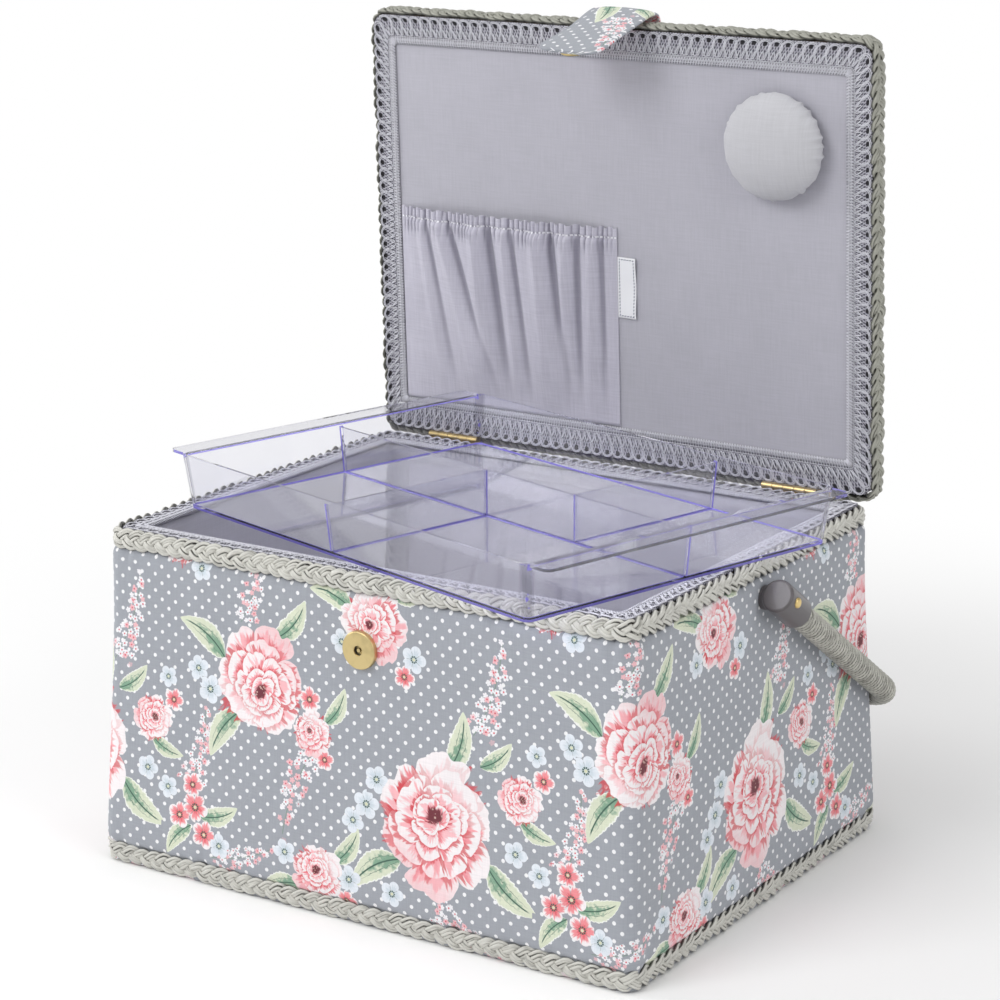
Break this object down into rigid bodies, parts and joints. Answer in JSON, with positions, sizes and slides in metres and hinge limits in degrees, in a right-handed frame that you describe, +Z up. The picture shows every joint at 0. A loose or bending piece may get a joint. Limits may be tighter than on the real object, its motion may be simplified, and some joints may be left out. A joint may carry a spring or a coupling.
{
  "type": "sewing box",
  "caption": "Padded fabric covered sewing box with a hinged padded lid, snap strap, swing handle and a loose clear divided tray.",
  "frame": {"origin": "middle of the underside, on the surface that the box stands on", "axes": "+X to the right along the front, +Y to the back where the lid is hinged, +Z up"},
  "size_m": [0.3749, 0.3006, 0.446],
  "materials": {
    "board": "raw fibre board",
    "wadding": "soft white wadding",
    "printed_cotton": "matte printed cotton",
    "lining_cloth": "matte woven cotton",
    "gimp": "matte crochet trim",
    "braid": "plaited cord with a soft sheen",
    "rope": "wound strands with a soft sheen",
    "winding": "plaited strands with a soft sheen",
    "satin_brass": "satin",
    "brass": "polished",
    "magnet": "dark, dull",
    "steel": "zinc plated",
    "wire_core": "dull",
    "cap_plastic": "satin moulded",
    "elastic": "woven elastic",
    "label_cloth": "woven satin tape",
    "cushion_cloth": "smooth satin cloth",
    "card": "card",
    "clear_plastic": "clear, glossy"
  },
  "bodies": {
    "box": {"base_cloth": "lining_cloth", "base_board": "board", "front_board": "board", "back_board": "board", "left_board": "board", "right_board": "board", "wall_padding": "wadding", "printed_cover": "printed_cotton", "wall_lining": "lining_cloth", "base_lining": "lining_cloth", "rim_gimp": "gimp", "top_braid": "braid", "bottom_braid": "braid", "snap_socket": "satin_brass", "snap_magnet": "magnet", "snap_washer": "steel", "hinge_box_leaves": "brass", "hinge_pins": "brass", "hinge_box_screws": "brass", "handle_screws": "steel", "handle_spacers": "cap_plastic"},
    "lid": {"lid_board": "board", "lid_padding": "wadding", "lid_cover": "printed_cotton", "lid_lining": "lining_cloth", "lid_gimp": "gimp", "lid_rope": "rope", "hinge_lid_leaves": "brass", "hinge_lid_screws": "brass", "pocket": "lining_cloth", "pocket_elastic": "elastic", "pocket_label": "label_cloth", "pincushion": "cushion_cloth", "pincushion_card": "card", "strap_root": "printed_cotton"},
    "tab": {"strap": "printed_cotton", "strap_snap": "satin_brass", "strap_washer": "steel"},
    "handle": {"handle_core": "wire_core", "handle_wrap": "winding", "handle_caps": "cap_plastic", "cap_rivets": "brass"},
    "tray": {"tray": "clear_plastic"}
  },
  "joints": [
    {"name": "lid_hinge", "type": "hinge", "parent": "box", "child": "lid", "pos_m": [0, 0.1275, 0.1865], "axis": [1, 0, 0], "range_deg": [0, 88]},
    {"name": "strap_fold", "type": "hinge", "parent": "lid", "child": "tab", "pos_m": [0, 0.13879, 0.43905], "axis": [1, 0, 0], "range_deg": [-14, 0]},
    {"name": "handle_swing", "type": "hinge", "parent": "box", "child": "handle", "pos_m": [0, 0.005, 0.16455], "axis": [1, 0, 0], "range_deg": [0, 50]},
    {"name": "tray_lift", "type": "hinge", "parent": "lid", "child": "tray", "pos_m": [0, 0.2595, 0.5149], "axis": [1, 0, 0], "range_deg": [-88, 0]}
  ],
  "couplings": [
    {"joint": "strap_fold", "follows": "lid_hinge", "ratio": -0.15909},
    {"joint": "tray_lift", "follows": "lid_hinge", "ratio": -1}
  ]
}
